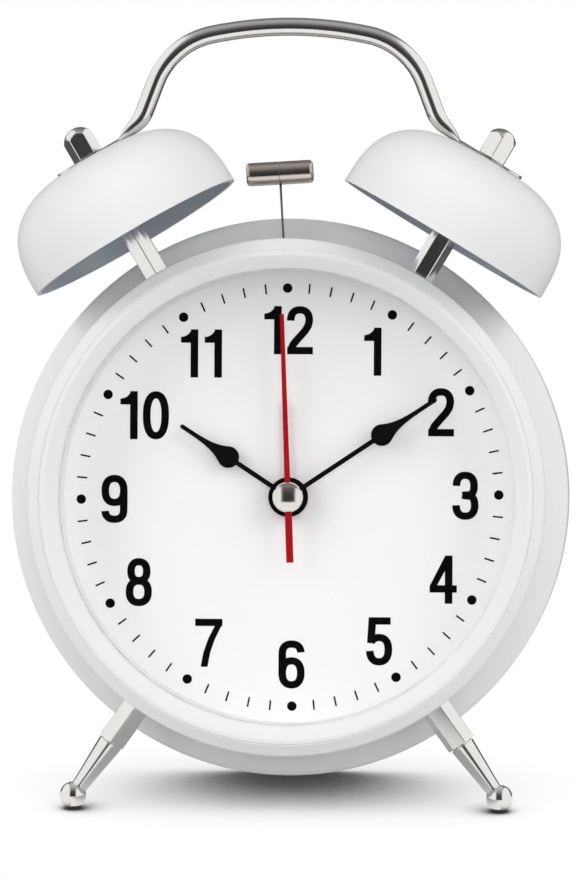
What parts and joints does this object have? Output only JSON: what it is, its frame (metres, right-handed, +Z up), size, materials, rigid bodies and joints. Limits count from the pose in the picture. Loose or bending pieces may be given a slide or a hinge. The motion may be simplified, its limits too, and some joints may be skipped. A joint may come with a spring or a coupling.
{
  "type": "twin bell alarm clock",
  "caption": "Round table alarm clock on ball-tipped legs, with a bell on each shoulder, a swinging hammer between them, a rod handle and a quartz movement.",
  "frame": {"origin": "on the table, at the middle of the footprint of the bounding box", "axes": "+X to the right seen from the front, +Y to the back, +Z up"},
  "size_m": [0.1172, 0.0649, 0.1627],
  "materials": {
    "white_paint": "glossy enamel",
    "window": "clear polished",
    "dial_print": "matt white print",
    "white_plastic": "moulded",
    "nickel": "polished plating",
    "black_hand": "satin black",
    "red_hand": "satin red",
    "brass": "bright",
    "black_plastic": "moulded",
    "steel": "plain",
    "copper": "enamelled wire",
    "board": "coated"
  },
  "bodies": {
    "case": {"case_shell": "white_paint", "bezel": "white_paint", "left_bell": "white_paint", "right_bell": "white_paint", "lens": "window", "dial_plate": "dial_print", "spacer_ring": "white_plastic", "chassis_plate": "white_plastic", "motor_bracket": "white_plastic", "rear_cover": "white_plastic", "left_bell_post": "nickel", "right_bell_post": "nickel", "cap_nuts": "nickel", "handle": "nickel", "left_leg": "nickel", "right_leg": "nickel", "case_nuts": "nickel", "battery_contacts": "nickel", "rear_screws": "nickel", "middle_plate": "brass", "movement_housing": "black_plastic", "stator": "steel", "alarm_motor": "steel", "battery": "steel", "coil": "copper", "circuit_board": "board"},
    "time_setting": {"setting_arbor": "white_plastic", "time_knob": "black_plastic"},
    "minute": {"minute_hand": "black_hand", "minute_pipe": "brass"},
    "hour": {"hour_hand": "black_hand", "hour_wheel": "white_plastic"},
    "alarm_setting": {"alarm_arbor": "white_plastic", "alarm_knob": "black_plastic"},
    "alarm": {"alarm_hand": "red_hand", "alarm_wheel": "white_plastic"},
    "second": {"second_hand": "red_hand", "second_wheel": "brass", "centre_cap": "nickel"},
    "intermediate": {"intermediate_wheel": "white_plastic"},
    "rotor_shaft": {"rotor": "steel"},
    "third": {"third_wheel": "white_plastic"},
    "centre": {"centre_wheel": "white_plastic"},
    "crank": {"crank_gear": "white_plastic"},
    "motor_shaft": {"motor_pinion": "brass"},
    "hammer": {"hammer_head": "nickel", "hammer_wire": "nickel", "hammer_lever": "black_plastic"},
    "switch": {"alarm_switch": "black_plastic"},
    "door": {"battery_door": "white_plastic"}
  },
  "joints": [
    {"name": "time_set", "type": "hinge", "parent": "case", "child": "time_setting", "pos_m": [-0.012, -0.00262, 0.06218], "axis": [0, 0.9799, -0.1994], "continuous": true},
    {"name": "minute_turn", "type": "hinge", "parent": "case", "child": "minute", "pos_m": [0, -0.00262, 0.06218], "axis": [0, 0.9799, -0.1994], "continuous": true},
    {"name": "hour_turn", "type": "hinge", "parent": "case", "child": "hour", "pos_m": [0, -0.00262, 0.06218], "axis": [0, 0.9799, -0.1994], "continuous": true},
    {"name": "alarm_set", "type": "hinge", "parent": "case", "child": "alarm_setting", "pos_m": [0.012, -0.00262, 0.06218], "axis": [0, 0.9799, -0.1994], "continuous": true},
    {"name": "alarm_turn", "type": "hinge", "parent": "case", "child": "alarm", "pos_m": [0, -0.00262, 0.06218], "axis": [0, 0.9799, -0.1994], "continuous": true},
    {"name": "second_turn", "type": "hinge", "parent": "case", "child": "second", "pos_m": [0, -0.00262, 0.06218], "axis": [0, 0.9799, -0.1994], "continuous": true},
    {"name": "intermediate_turn", "type": "hinge", "parent": "case", "child": "intermediate", "pos_m": [0, -0.00475, 0.0517], "axis": [0, 0.9799, -0.1994], "continuous": true},
    {"name": "rotor_turn", "type": "hinge", "parent": "case", "child": "rotor_shaft", "pos_m": [0.0084, -0.00475, 0.0517], "axis": [0, 0.9799, -0.1994], "continuous": true},
    {"name": "third_turn", "type": "hinge", "parent": "case", "child": "third", "pos_m": [0, -0.00062, 0.07198], "axis": [0, 0.9799, -0.1994], "continuous": true},
    {"name": "centre_turn", "type": "hinge", "parent": "case", "child": "centre", "pos_m": [0, -0.00262, 0.06218], "axis": [0, 0.9799, -0.1994], "continuous": true},
    {"name": "crank_turn", "type": "hinge", "parent": "case", "child": "crank", "pos_m": [0, 0.00277, 0.08864], "axis": [0, 0.9799, -0.1994], "continuous": true},
    {"name": "motor_spin", "type": "hinge", "parent": "case", "child": "motor_shaft", "pos_m": [0.00658, 0.00352, 0.09237], "axis": [0, 0.9799, -0.1994], "continuous": true},
    {"name": "hammer_swing", "type": "hinge", "parent": "case", "child": "hammer", "pos_m": [0, 0.0024, 0.09688], "axis": [0, 0.9799, -0.1994], "range_deg": [-4.5, 11.5]},
    {"name": "switch_slide", "type": "slide", "parent": "case", "child": "switch", "axis": [1, 0, 0], "range_m": [0, 0.006]},
    {"name": "door_lift", "type": "slide", "parent": "case", "child": "door", "axis": [0, 0.9799, -0.1994], "range_m": [0, 0.015]}
  ],
  "couplings": [
    {"joint": "minute_turn", "follows": "time_set", "ratio": -3},
    {"joint": "hour_turn", "follows": "time_set", "ratio": -0.25},
    {"joint": "alarm_turn", "follows": "alarm_set", "ratio": -0.25},
    {"joint": "intermediate_turn", "follows": "second_turn", "ratio": -5},
    {"joint": "rotor_turn", "follows": "second_turn", "ratio": 30},
    {"joint": "third_turn", "follows": "second_turn", "ratio": -0.13333},
    {"joint": "centre_turn", "follows": "second_turn", "ratio": 0.016667},
    {"joint": "motor_spin", "follows": "crank_turn", "ratio": -3.75}
  ]
}
